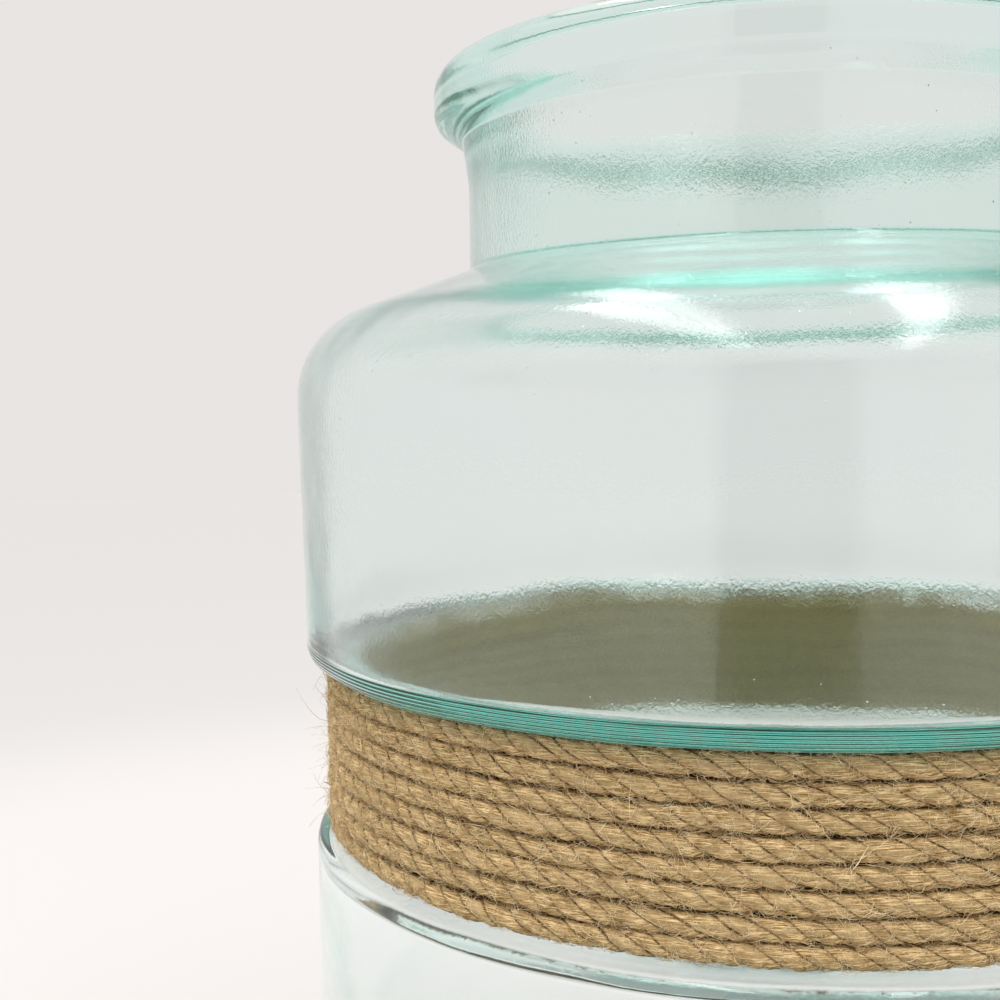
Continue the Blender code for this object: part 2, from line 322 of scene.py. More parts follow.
# The tent's open front, and how many bounces of light are followed
OPENING_LEFT = -0.09
OPENING_RIGHT = 0.35
OPENING_BOTTOM = 0.04
OPENING_TOP = 0.45
OPENING_PLACE = -0.50
OPENING_DARK = (0.05, 0.05, 0.05, 1.0)
OPENING_GREY = (0.70, 0.70, 0.70, 1.0)
OPENING_GREY_START = 0.02
OPENING_GREY_FULL = 0.09
OPENING_RAY_DEPTH = 4
HALF_BOUNCE = 0.5
LIGHT_BOUNCES = 32
GLOSSY_BOUNCES = 16


def new_object(name, data):
    """A new object in the scene."""
    made = bpy.data.objects.new(name, data)
    bpy.context.scene.collection.objects.link(made)
    return made


def new_material(name):
    """A new node material, with its node tree and output node."""
    material = bpy.data.materials.new(name)
    material.use_nodes = True
    tree = material.node_tree
    tree.nodes.clear()
    output = tree.nodes.new("ShaderNodeOutputMaterial")
    return material, tree, output


def add_node(tree, kind, **values):
    """A new shader node with some of its properties set."""
    node = tree.nodes.new(kind)
    for name, value in values.items():
        setattr(node, name, value)
    return node


def mixed_colour(tree, factor, first, second):
    """A colour socket that goes from the first colour to the second."""
    mix = add_node(tree, "ShaderNodeMix", data_type="RGBA")
    tree.links.new(factor, mix.inputs["Factor"])
    for socket, colour in ((mix.inputs[6], first), (mix.inputs[7], second)):
        if isinstance(colour, tuple):
            socket.default_value = colour
        else:
            tree.links.new(colour, socket)
    return mix.outputs[2]


def math_node(tree, operation, first, second):
    """A socket with the result of an arithmetic node."""
    node = add_node(tree, "ShaderNodeMath", operation=operation)
    for socket, value in zip(node.inputs, (first, second)):
        if isinstance(value, (int, float)):
            socket.default_value = value
        else:
            tree.links.new(value, socket)
    return node.outputs[0]


def ranged(tree, value, low, high, to_low=0.0, to_high=1.0):
    """A socket that maps a value from one range to another, held within its ends."""
    node = add_node(tree, "ShaderNodeMapRange", interpolation_type="SMOOTHSTEP")
    tree.links.new(value, node.inputs["Value"])
    node.inputs["From Min"].default_value = low
    node.inputs["From Max"].default_value = high
    node.inputs["To Min"].default_value = to_low
    node.inputs["To Max"].default_value = to_high
    return node.outputs["Result"]


def noise_value(tree, vector, scale, detail, roughness=0.5):
    """The value of a noise texture."""
    node = add_node(tree, "ShaderNodeTexNoise")
    node.inputs["Scale"].default_value = scale
    node.inputs["Detail"].default_value = detail
    node.inputs["Roughness"].default_value = roughness
    tree.links.new(vector, node.inputs["Vector"])
    return node.outputs["Fac"]


def scaled_coordinates(tree, source, scale):
    """A vector socket stretched along each axis."""
    mapping = add_node(tree, "ShaderNodeMapping")
    mapping.inputs["Scale"].default_value = scale
    tree.links.new(source, mapping.inputs["Vector"])
    return mapping.outputs["Vector"]


def object_place(tree):
    """A vector socket with the place on the object, in metres."""
    return add_node(tree, "ShaderNodeTexCoord").outputs["Object"]


def part_of(tree, vector, axis):
    """A socket with one coordinate of a vector."""
    split = add_node(tree, "ShaderNodeSeparateXYZ")
    tree.links.new(vector, split.inputs[0])
    return split.outputs[axis]


def length_of(tree, vector):
    """A socket with the length of a vector."""
    node = add_node(tree, "ShaderNodeVectorMath", operation="LENGTH")
    tree.links.new(vector, node.inputs[0])
    return node.outputs["Value"]


def new_surface(tree, output, roughness):
    """A new Principled surface, linked to the output."""
    surface = add_node(tree, "ShaderNodeBsdfPrincipled")
    surface.inputs["Roughness"].default_value = roughness
    tree.links.new(surface.outputs["BSDF"], output.inputs["Surface"])
    return surface


def add_bump(tree, surface, height, distance):
    """Give a surface the bumps of a height socket."""
    bump = add_node(tree, "ShaderNodeBump")
    bump.inputs["Distance"].default_value = distance
    tree.links.new(height, bump.inputs["Height"])
    tree.links.new(bump.outputs["Normal"], surface.inputs["Normal"])


def seen_rays(tree):
    """A socket that is 1 for rays that show a surface, directly or in glass, and 0 for other rays."""
    path = add_node(tree, "ShaderNodeLightPath")
    seen = math_node(tree, "MAXIMUM", path.outputs["Is Camera Ray"], path.outputs["Is Glossy Ray"])
    return math_node(tree, "MAXIMUM", seen, path.outputs["Is Transmission Ray"])


def pebble_height(tree, place, amount):
    """A socket with the height of the pebbling and its blisters, in metres."""
    stretched = scaled_coordinates(tree, place, (1.0, 1.0, PEBBLE_STRETCH))
    pebbles = noise_value(tree, stretched, 1.0 / PEBBLE_SIZE, PEBBLE_DETAIL, PEBBLE_FINE_SHARE)
    pebbles = math_node(tree, "MULTIPLY", math_node(tree, "MULTIPLY", pebbles, amount), PEBBLE_DEPTH)
    cells = add_node(tree, "ShaderNodeTexVoronoi")
    cells.inputs["Scale"].default_value = 1.0 / BLISTER_SPACING
    tree.links.new(place, cells.inputs["Vector"])
    blisters = ranged(tree, cells.outputs["Distance"], 0.0, BLISTER_SHARE, BLISTER_DEPTH, 0.0)
    share = ranged(tree, amount, BLISTER_START, BLISTER_FULL)
    return math_node(tree, "ADD", pebbles, math_node(tree, "MULTIPLY", blisters, share))


def level_band(tree, height, low, high, fade):
    """A socket that is 1 between two heights and fades to 0 beyond them."""
    above = ranged(tree, height, low - fade, low)
    below = ranged(tree, height, high, high + fade, 1.0, 0.0)
    return math_node(tree, "MULTIPLY", above, below)


def thick_glass_colour(tree, place, amount):
    """A colour socket for the green that builds up in the neck and at its root, where the glass is thick."""
    root = HEEL_LEVEL + THROAT_ROOT
    height = part_of(tree, place, "Z")
    at_root = level_band(tree, height, root - ROOT_GREEN_DROP, root, ROOT_GREEN_FADE)
    inside = ranged(tree, amount, NECK_GREEN_START, NECK_GREEN_FULL)
    neck = mixed_colour(tree, inside, CLEAR, NECK_GREEN)
    return mixed_colour(tree, math_node(tree, "MULTIPLY", at_root, inside), neck, ROOT_GREEN)


def heel_lines(tree, place):
    """Two sockets for the lines on the heel's outer face: the lines as a wave, and how far they show. The
    wave gives a slight relief and the painted dark reflection lines, which show from outside the glass only.
    """
    round_scale = 1.0 / HEEL_LINE_LENGTH
    level_scale = HEEL_LINE_WAVER_RATE / HEEL_LINE_SPACING
    stretched = scaled_coordinates(tree, place, (round_scale, round_scale, level_scale))
    waver = noise_value(tree, stretched, 1.0, HEEL_LINE_WAVER_DETAIL)
    height = part_of(tree, place, "Z")
    turn = math_node(tree, "MULTIPLY", height, math.tau / HEEL_LINE_SPACING)
    turn = math_node(tree, "ADD", turn, math_node(tree, "MULTIPLY", waver, HEEL_LINE_WAVER))
    lines = math_node(tree, "SINE", turn, 0.0)
    level = level_band(tree, height, HEEL_LEVEL, HEEL_LEVEL + HEEL_LINE_TOP, HEEL_LINE_FADE)
    radius = length_of(tree, scaled_coordinates(tree, place, (1.0, 1.0, 0.0)))
    outside = ranged(tree, radius, HEEL_LINE_RADIUS, HEEL_LINE_RADIUS + HEEL_LINE_FADE)
    # The painted band shows only where a ray meets the heel's outer face from outside the glass
    facing = add_node(tree, "ShaderNodeNewGeometry").outputs["Backfacing"]
    outside = math_node(tree, "MULTIPLY", outside, math_node(tree, "SUBTRACT", 1.0, facing))
    return lines, math_node(tree, "MULTIPLY", level, outside)


def make_glass(name):
    """Clear glass, green in the thick, pebbled where the mesh says so, with a painted teal band and painted
    dark reflection lines on the heel's outer face.
    """
    material, tree, output = new_material(name)
    surface = new_surface(tree, output, 0.0)
    surface.inputs["IOR"].default_value = GLASS_INDEX
    surface.inputs["Transmission Weight"].default_value = 1.0
    absorption = add_node(tree, "ShaderNodeVolumeAbsorption")
    absorption.inputs["Color"].default_value = GLASS_TINT
    absorption.inputs["Density"].default_value = GLASS_DENSITY
    tree.links.new(absorption.outputs["Volume"], output.inputs["Volume"])
    place = object_place(tree)
    amount = add_node(tree, "ShaderNodeAttribute", attribute_name="pebble").outputs["Fac"]
    lines, shown = heel_lines(tree, place)
    # Painted teal for light seen edge-on through the floor glass, with painted dark lines for reflections of
    # the gap between the rope and the heel
    dark = ranged(tree, lines, HEEL_LINE_PAINTED_REFLECTION_START, HEEL_LINE_PAINTED_REFLECTION_FULL)
    painted_heel_colour = mixed_colour(tree, dark, HEEL_LINE_PAINTED_TEAL, HEEL_LINE_PAINTED_REFLECTION)
    green = thick_glass_colour(tree, place, amount)
    tree.links.new(mixed_colour(tree, shown, green, painted_heel_colour), surface.inputs["Base Color"])
    line_height = math_node(tree, "MULTIPLY", math_node(tree, "MULTIPLY", lines, shown), HEEL_LINE_DEPTH)
    height = math_node(tree, "ADD", pebble_height(tree, place, amount), line_height)
    add_bump(tree, surface, height, 1.0)
    return material


def arc_points(before, corner, after):
    """Points (radius, height, pebbling) of one corner rounded to its fillet."""
    radius, height, fillet, pebble = corner
    if fillet <= 0:
        return [(radius, height, pebble)]
    middle = Vector((radius, height))
    to_before = (Vector(before[:2]) - middle).normalized()
    to_after = (Vector(after[:2]) - middle).normalized()
    turn = to_before.angle(to_after)
    centre = middle + (to_before + to_after).normalized() * fillet / math.sin(turn / 2)
    first = middle + to_before * fillet / math.tan(turn / 2) - centre
    last = middle + to_after * fillet / math.tan(turn / 2) - centre
    swept = first.angle(last)
    steps = max(3, math.ceil(swept / ARC_STEP))
    points = []
    for step in range(steps + 1):
        share = step / steps
        turned = first * math.sin((1 - share) * swept) + last * math.sin(share * swept)
        place = centre + turned / math.sin(swept)
        points.append((place.x, place.y, pebble))
    return points


def rounded_outline(corners, closed):
    """Points (radius, height, pebbling) along rounded corners, with the straight runs split."""
    count = len(corners)
    pointed = []
    for index, corner in enumerate(corners):
        if not closed and index in (0, count - 1):
            pointed.append((corner[0], corner[1], corner[3]))
        else:
            pointed.extend(arc_points(corners[index - 1], corner, corners[(index + 1) % count]))
    outline = []
    following = pointed[1:] + (pointed[:1] if closed else [])
    for place, after in zip(pointed, following):
        length = math.hypot(after[0] - place[0], after[1] - place[1])
        parts = max(1, round(length / RUN_STEP))
        for part in range(parts):
            share = part / parts
            outline.append(tuple(a + (b - a) * share for a, b in zip(place, after)))
    if not closed:
        outline.append(pointed[-1])
    return np.array(outline)


def wave_heights(angles, lengths, wave_length, height, seed):
    """A smooth random height over the glass: a sum of waves that close round the axis."""
    draw = random.Random(seed)
    total = np.zeros((len(angles), len(lengths)))
    most_round = max(2, round(math.tau * PLANTER_RADIUS / wave_length))
    for _ in range(WAVES_IN_SUM):
        round_count = draw.randint(-most_round, most_round)
        along = draw.uniform(-1.0, 1.0) * math.tau / wave_length
        phase = draw.uniform(0.0, math.tau)
        total += np.sin(round_count * angles[:, None] + along * lengths[None, :] + phase)
    return total * height / math.sqrt(WAVES_IN_SUM / 2)


def glass_waves(outline, angles, seed):
    """Unevenness of a turned piece at each angle and point of its outline."""
    steps = np.linalg.norm(np.diff(outline[:, :2], axis=0), axis=1)
    lengths = np.concatenate([[0.0], np.cumsum(steps)])
    waves = wave_heights(angles, lengths, SLOW_WAVE_LENGTH, SLOW_WAVE_HEIGHT, seed)
    waves += wave_heights(angles, lengths, FINE_WAVE_LENGTH, FINE_WAVE_HEIGHT, seed + 1)
    ends = np.minimum(lengths, lengths[-1] - lengths)
    above = outline[:, 1] - outline[:, 1].min()
    for fading in (ends / WAVE_FADE, above / WAVE_FADE, outline[:, 0] / AXIS_FADE):
        waves *= np.clip(fading, 0.0, 1.0)[None, :]
    return waves


def turned_points(outline, closed, seed):
    """Points of a turned piece as (angle, row, coordinate), moved off its outline by the glass's waves."""
    ahead = np.roll(outline[:, :2], -1, axis=0)
    behind = np.roll(outline[:, :2], 1, axis=0)
    if not closed:
        ahead[-1] = outline[-1, :2]
        behind[0] = outline[0, :2]
    along = ahead - behind
    along /= np.linalg.norm(along, axis=1)[:, None]
    angles = np.arange(GLASS_SEGMENTS) * math.tau / GLASS_SEGMENTS
    waves = glass_waves(outline, angles, seed)
    radii = outline[None, :, 0] + waves * along[None, :, 1]
    heights = outline[None, :, 1] - waves * along[None, :, 0]
    return np.stack([radii * np.cos(angles)[:, None], radii * np.sin(angles)[:, None], heights], axis=2)


def turned_faces(rows, closed):
    """Faces between the rows of a turned piece's points."""
    index = np.arange(GLASS_SEGMENTS * rows).reshape(GLASS_SEGMENTS, rows)
    spans = rows if closed else rows - 1
    here = index[:, :spans]
    after = np.roll(index, -1, axis=1)[:, :spans]
    return np.stack([here, after, np.roll(after, -1, axis=0), np.roll(here, -1, axis=0)], axis=2)


def turned_glass(name, corners, closed, seed):
    """A turned glass piece with slightly uneven surfaces and a pebbling amount at each point."""
    outline = rounded_outline(corners, closed)
    points = turned_points(outline, closed, seed)
    faces = turned_faces(len(outline), closed)
    mesh = bpy.data.meshes.new(name)
    mesh.from_pydata(points.reshape(-1, 3).tolist(), [], faces.reshape(-1, 4).tolist())
    amount = mesh.attributes.new("pebble", "FLOAT", "POINT")
    amount.data.foreach_set("value", np.tile(outline[:, 2], GLASS_SEGMENTS).astype(np.float32))
    mend_axis(mesh)
    mesh.shade_smooth()
    return new_object(name, mesh)


def mend_axis(mesh):
    """Join the points that lie together on the axis, and turn all faces outwards."""
    work = bmesh.new()
    work.from_mesh(mesh)
    bmesh.ops.remove_doubles(work, verts=work.verts, dist=SAME_PLACE)
    bmesh.ops.recalc_face_normals(work, faces=work.faces)
    work.to_mesh(mesh)
    work.free()


def planter_corners():
    """Outline of the planter's glass: (radius, height, fillet, pebbling)."""
    heel = PLANTER_RADIUS - PLANTER_TAPER
    fall = math.tan(SHOULDER_SLOPE)
    shoulder = THROAT_ROOT - (PLANTER_RADIUS - THROAT_RADIUS) * fall
    inward = PLANTER_WALL * fall - PLANTER_WALL / math.cos(SHOULDER_SLOPE)
    bore = THROAT_RADIUS - PLANTER_WALL
    outside = [
        (RIM_RADIUS, RIM_TOP, RIM_TOP_FILLET, SMOOTH),
        (RIM_RADIUS, RIM_EDGE, RIM_EDGE_FILLET, SMOOTH),
        (THROAT_RADIUS + THROAT_FLARE, RIM_CREASE, RIM_CREASE_FILLET, FAINT),
        (THROAT_RADIUS, RIM_CREASE - THROAT_FLARE_DROP, THROAT_FLARE_FILLET, FAINT),
        (THROAT_RADIUS, THROAT_ROOT, THROAT_ROOT_FILLET, FAINT),
        (PLANTER_RADIUS, shoulder, SHOULDER_FILLET, SHOULDER_PEBBLE),
        (heel, 0.0, PLANTER_HEEL_FILLET, SMOOTH),
    ]
    waist = [
        (WAIST_RADIUS, 0.0, WAIST_TOP_FILLET, SMOOTH),
        (WAIST_RADIUS, FOOT + SPIGOT_DEPTH, WAIST_STEP_FILLET, SMOOTH),
        (SPIGOT_RADIUS, FOOT + SPIGOT_DEPTH, SPIGOT_ROOT_FILLET, SMOOTH),
        (SPIGOT_RADIUS, FOOT, SPIGOT_FOOT_FILLET, SMOOTH),
        (WICK_HOLE_RADIUS, FOOT, WICK_HOLE_FILLET, SMOOTH),
        (WICK_HOLE_RADIUS, FOOT + PLANTER_FLOOR, WICK_HOLE_FILLET, FAINT),
        (WAIST_BORE, FOOT + PLANTER_FLOOR, PLANTER_FLOOR_FILLET, SLIGHT),
    ]
    inside = [
        (WAIST_BORE, LEDGE_THICKNESS, LEDGE_FILLET, SLIGHT),
        (heel - PLANTER_WALL, LEDGE_THICKNESS, LEDGE_ROOT_FILLET, MILD),
        (PLANTER_RADIUS - PLANTER_WALL, shoulder + inward, SHOULDER_FILLET - PLANTER_WALL, FAINT),
        (bore, THROAT_ROOT + inward, THROAT_ROOT_FILLET + PLANTER_WALL, NECK_ROOT_PEBBLE),
        (bore, RIM_CREASE, 0.0, NECK_PEBBLE),
        (bore, RIM_TOP, RIM_TOP_FILLET, SLIGHT),
    ]
    return [(r, h + HEEL_LEVEL, f, p) for r, h, f, p in outside + waist + inside]


def reservoir_corners():
    """Outline of the reservoir's glass, from the axis inside round to the axis underneath."""
    inner = RESERVOIR_RADIUS - RESERVOIR_WALL
    floor = RESERVOIR_BASE + PUNT_DEPTH
    underside = RESERVOIR_SHOULDER - RESERVOIR_WALL
    shoulder = RESERVOIR_SHOULDER - RESERVOIR_SHOULDER_DROP
    foot = RESERVOIR_RADIUS - RESERVOIR_HEEL_FILLET - FOOT_WIDTH
    return [
        (0.0, floor, 0.0, MILD),
        (inner, floor, RESERVOIR_FLOOR_FILLET, MILD),
        (inner, shoulder - RESERVOIR_WALL, RESERVOIR_INNER_FILLET, UNDER_SHOULDER_PEBBLE),
        (MOUTH_RADIUS, underside, MOUTH_UNDERSIDE_FILLET, FAINT),
        (MOUTH_RADIUS, RESERVOIR_SHOULDER, MOUTH_EDGE_FILLET, SMOOTH),
        (RESERVOIR_RADIUS, shoulder, RESERVOIR_SHOULDER_FILLET, SMOOTH),
        (RESERVOIR_RADIUS, 0.0, RESERVOIR_HEEL_FILLET, SMOOTH),
        (foot, 0.0, 0.0, SMOOTH),
        (foot - PUNT_SLOPE, PUNT_DEPTH, 0.0, SMOOTH),
        (0.0, PUNT_DEPTH, 0.0, SMOOTH),
    ]


def make_vessels():
    """The two glass vessels, each in place of its solid."""
    planter = turned_glass("planter_glass", planter_corners(), True, PLANTER_WAVE_SEED)
    planter.data.materials.append(make_glass("planter_glass"))
    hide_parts("planter")
    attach(planter, "planter")
    reservoir = turned_glass("reservoir_glass", reservoir_corners(), False, RESERVOIR_WAVE_SEED)
    reservoir.data.materials.append(make_glass("reservoir_glass"))
    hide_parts("reservoir")
    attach(reservoir, "reservoir")


def tubes_mesh(name, tubes):
    """A mesh of closed tubes, given as (tube, ring, side, coordinate), with a cap at both ends of each."""
    number, rings, sides = tubes.shape[:3]
    index = np.arange(number * rings * sides, dtype=np.int32).reshape(number, rings, sides)
    turned = np.roll(index, -1, axis=2)
    walls = np.stack([index[:, :-1], turned[:, :-1], turned[:, 1:], index[:, 1:]], axis=3).reshape(-1, 4)
    caps = np.concatenate([index[:, 0, ::-1], index[:, -1]])
    corners = np.concatenate([walls.ravel(), caps.ravel()])
    starts = np.concatenate([np.arange(len(walls)) * 4, walls.size + np.arange(len(caps)) * sides])
    mesh = bpy.data.meshes.new(name)
    mesh.vertices.add(index.size)
    mesh.vertices.foreach_set("co", tubes.astype(np.float32).ravel())
    mesh.loops.add(len(corners))
    mesh.loops.foreach_set("vertex_index", corners)
    mesh.polygons.add(len(starts))
    mesh.polygons.foreach_set("loop_start", starts.astype(np.int32))
    mesh.update(calc_edges=True)
    mesh.validate()
    mesh.shade_smooth()
    return mesh


def rope_drop(turns):
    """How far the winding has come down after some turns: level, then one pitch lower in the last stretch."""
    whole = np.floor(turns)
    climb = np.clip((turns - whole - (1 - CLIMB_TURN)) / CLIMB_TURN, 0.0, 1.0)
    return ROPE_PITCH * (whole + climb * climb * (3 - 2 * climb))


def slow_wander(turns, seed, size, fastest=WANDER_WAVES):
    """A smooth random shift along the rope, with so many waves to a turn at the fastest."""
    draw = random.Random(seed)
    total = np.zeros_like(turns)
    for _ in range(WANDER_TERMS):
        share = draw.uniform(WANDER_SLOWEST, 1.0)
        phase = draw.uniform(0.0, math.tau)
        total += np.sin(turns * math.tau * share * fastest + phase)
    return total * size / math.sqrt(WANDER_TERMS / 2)


class RopeLine:
    """Centre line of the winding, with the directions across it at each of its points."""

    def __init__(self):
        """Work out the points from the highest turn down."""
        round_length = math.tau * ROPE_CENTRE_RADIUS
        tail = CAD_ROPE_DIAMETER / round_length
        last_turn = ROPE_TURNS - CLIMB_TURN
        count = round((last_turn + 2 * tail) * round_length / ROPE_STEP)
        self.turns = np.linspace(-tail, last_turn + tail, count)
        angle = SEAM_ANGLE + math.tau * (CLIMB_TURN / 2 + self.turns)
        inner = np.clip(self.turns, 0.0, last_turn - TURN_MARGIN)
        radius = ROPE_CENTRE_RADIUS + slow_wander(self.turns, RADIUS_SEED, ROPE_WANDER)
        height = ROPE_HIGHEST - rope_drop(inner) + slow_wander(self.turns, HEIGHT_SEED, ROPE_WANDER)
        self.out = np.stack([np.cos(angle), np.sin(angle), np.zeros(count)], axis=1)
        self.points = self.out * radius[:, None]
        self.points[:, 2] = height
        self.ahead = np.gradient(self.points, axis=0)
        self.ahead /= np.linalg.norm(self.ahead, axis=1)[:, None]
        self.side = np.cross(self.ahead, self.out)
        self.length = (self.turns + tail) * round_length
        wander = slow_wander(self.turns, TWIST_SEED, TWIST_WANDER, TWIST_WAVES)
        self.twist = math.tau * self.length / ROPE_LAY + wander


def strand_reaches(line, around):
    """How far each strand reaches from the rope's centre line, at angles round the rope."""
    offset = ROPE_RADIUS - STRAND_RADIUS
    reaches = []
    for strand in range(STRANDS):
        wander = slow_wander(line.turns, STRAND_SEED + strand, STRAND_WANDER, STRAND_WAVES)
        swell = slow_wander(line.turns, SWELL_SEED + strand, STRAND_SWELL, SWELL_WAVES)
        shift = strand * math.tau / STRANDS + wander
        size = STRAND_RADIUS * (1.0 + swell)
        apart = around - (line.twist + shift)[:, None]
        within = size[:, None] ** 2 - (offset * np.sin(apart)) ** 2
        reaches.append(offset * np.cos(apart) + np.sqrt(within))
    return np.sort(np.stack(reaches), axis=0)


def squeezed(upward):
    """A height above the rope's centre line, pressed flat where the next turn begins."""
    share = np.abs(upward) / SQUEEZE_HALF
    return upward / (1.0 + share ** SQUEEZE_POWER) ** (1.0 / SQUEEZE_POWER)


def rope_section(line, around):
    """How far out and up the points of each ring lie, and how much painted shade they get in the grooves and
    in the creases between turns. The inner face, which gets painted light instead, is at -1 and above.
    """
    reaches = strand_reaches(line, around)
    painted_shade_and_light = 1.0 - np.clip((reaches[-1] - reaches[-2]) / GROOVE_DEPTH, 0.0, 1.0)
    draw = np.random.default_rng(ROUGHNESS_SEED)
    reach = reaches[-1] + draw.uniform(-ROPE_ROUGHNESS, ROPE_ROUGHNESS, around.shape)
    stretch = np.where(np.cos(around) > 0, OUTER_STRETCH, INNER_STRETCH)
    outward = reach * np.cos(around)
    upward = squeezed(reach * np.sin(around) * stretch)
    # Painted shade in the creases between turns and in the grooves between strands. The inner face is marked
    # at -1 for painted light
    crease_shade = np.clip((np.abs(upward) / (ROPE_PITCH / 2) - CREASE_SHADE_START) / (1.0 - CREASE_SHADE_START), 0.0, 1.0)
    outer = np.maximum(painted_shade_and_light, crease_shade)
    painted_shade_and_light = np.where(np.cos(around) > INNER_FACE, outer, -1.0 + INNER_CREASE_SHADE * crease_shade)
    return outward, upward, painted_shade_and_light


def make_rope(line):
    """The wound rope: one tube whose three-lobed section turns along it."""
    count = len(line.points)
    around = np.tile(np.arange(ROPE_SIDES) * math.tau / ROPE_SIDES, (count, 1))
    outward, upward, painted_shade_and_light = rope_section(line, around)
    rings = (line.points[:, None, :] + outward[:, :, None] * line.out[:, None, :]
             + upward[:, :, None] * line.side[:, None, :])
    mesh = tubes_mesh("rope_winding_jute", rings[None])
    # The third value of the lay carries the painted shade of grooves and creases, and marks the inner face
    # for painted light
    lay = mesh.attributes.new("lay", "FLOAT_VECTOR", "POINT")
    along = np.broadcast_to(line.length[:, None], around.shape)
    laid = np.stack([along, around * ROPE_RADIUS, painted_shade_and_light], axis=2)
    lay.data.foreach_set("vector", laid.astype(np.float32).ravel())
    rope = new_object("rope_winding_jute", mesh)
    rope.data.materials.append(make_jute("jute"))
    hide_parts("rope_winding")
    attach(rope, "planter")


def jute_colour(tree, lay, place, streaks, grain):
    """A colour socket: streaked and patched tan, with painted shade in the grooves and creases and painted
    light on the rope's inner face.
    """
    patches = noise_value(tree, place, JUTE_PATCH_SCALE, JUTE_PATCH_DETAIL)
    painted_shade_and_light = part_of(tree, lay, "Z")
    tan = mixed_colour(tree, ranged(tree, streaks, *JUTE_STREAK_RANGE), JUTE_STREAK_DARK, JUTE_STREAK_PALE)
    tan = mixed_colour(tree, ranged(tree, patches, *JUTE_PATCH_RANGE), tan, JUTE_PATCH)
    tan = mixed_colour(tree, ranged(tree, grain, *JUTE_GRAIN_RANGE), tan, JUTE_GRAIN)
    # Painted shade in the grooves and creases
    tan = mixed_colour(tree, ranged(tree, painted_shade_and_light, *JUTE_PAINTED_SHADE_RANGE), tan, JUTE_PAINTED_SHADE)
    # Painted light on the rope's inner face
    return mixed_colour(tree, ranged(tree, painted_shade_and_light, *JUTE_PAINTED_LIGHT_RANGE), JUTE_PAINTED_LIGHT, tan)


def make_jute(name):
    """Raw jute: dull tan, streaked along the fibres, with painted shade in the grooves between the strands.
    """
    material, tree, output = new_material(name)
    surface = new_surface(tree, output, JUTE_ROUGHNESS)
    surface.inputs["Specular IOR Level"].default_value = JUTE_SPECULAR
    lay = add_node(tree, "ShaderNodeAttribute", attribute_name="lay").outputs["Vector"]
    place = object_place(tree)
    stretched = scaled_coordinates(tree, lay, JUTE_STREAK_SCALE)
    streaks = noise_value(tree, stretched, 1.0, JUTE_STREAK_DETAIL, JUTE_STREAK_FINE_SHARE)
    grain = noise_value(tree, place, JUTE_GRAIN_SCALE, JUTE_GRAIN_DETAIL, JUTE_GRAIN_FINE_SHARE)
    tree.links.new(jute_colour(tree, lay, place, streaks, grain), surface.inputs["Base Color"])
    add_bump(tree, surface, math_node(tree, "ADD", streaks, grain), JUTE_BUMP)
    return material


def make_fibre_material(name):
    """Single jute fibres: paler than the rope, and a little glossy."""
    material, tree, output = new_material(name)
    surface = new_surface(tree, output, FIBRE_ROUGHNESS)
    tone = noise_value(tree, object_place(tree), FIBRE_TONE_SCALE, FIBRE_TONE_DETAIL)
    colour = mixed_colour(tree, ranged(tree, tone, *FIBRE_TONE_RANGE), FIBRE_DARK, FIBRE_PALE)
    tree.links.new(colour, surface.inputs["Base Color"])
    return material


def fibre_paths(line, draw, count, length, lift, spread, curl, reach_out):
    """Points of fibres that start in the rope and run over it, or out of it. Lengths are ranges."""
    index = draw.integers(0, len(line.points), count)
    around = draw.uniform(-FIBRE_START_ANGLE, FIBRE_START_ANGLE, count)[:, None]
    away = np.cos(around) * line.out[index] + np.sin(around) * line.side[index]
    across = np.cos(around) * line.side[index] - np.sin(around) * line.out[index]
    ahead = line.ahead[index] * draw.choice([-1.0, 1.0], count)[:, None]
    start = line.points[index] + away * (ROPE_RADIUS - FIBRE_ROOT)
    share = np.linspace(0.0, 1.0, FIBRE_POINTS)[None, :]
    heading = draw.normal(0.0, spread, count)[:, None] + draw.normal(0.0, curl, count)[:, None] * share
    step = draw.uniform(*length, count)[:, None] / (FIBRE_POINTS - 1)
    forward = np.cumsum(np.cos(heading) * step, axis=1) - np.cos(heading[:, :1]) * step
    sideways = np.cumsum(np.sin(heading) * step, axis=1) - np.sin(heading[:, :1]) * step
    held = np.clip(np.abs(sideways), 0.0, FIBRE_HELD_SHARE * ROPE_RADIUS)
    fall = ROPE_RADIUS - np.sqrt(ROPE_RADIUS ** 2 - held ** 2)
    rise = draw.uniform(*lift, count)[:, None] * np.sin(math.pi * share)
    rise = rise + draw.uniform(*reach_out, count)[:, None] * share ** 2 - fall
    paths = (start[:, None, :] + forward[:, :, None] * ahead[:, None, :]
             + sideways[:, :, None] * across[:, None, :] + rise[:, :, None] * away[:, None, :])
    return clear_of_glass(paths)


def clear_of_glass(paths):
    """The same paths, held off the glass above, below and behind the rope."""
    paths = paths.copy()
    radius = np.hypot(paths[:, :, 0], paths[:, :, 1])
    least = WAIST_RADIUS + FIBRE_CLEARANCE
    paths[:, :, :2] *= np.maximum(1.0, least / radius)[:, :, None]
    under = radius < PLANTER_RADIUS
    highest = np.where(under, HEEL_LEVEL - FIBRE_CLEARANCE, np.inf)
    lowest = np.where(under, RESERVOIR_SHOULDER + FIBRE_CLEARANCE, -np.inf)
    paths[:, :, 2] = np.clip(paths[:, :, 2], lowest, highest)
    return paths


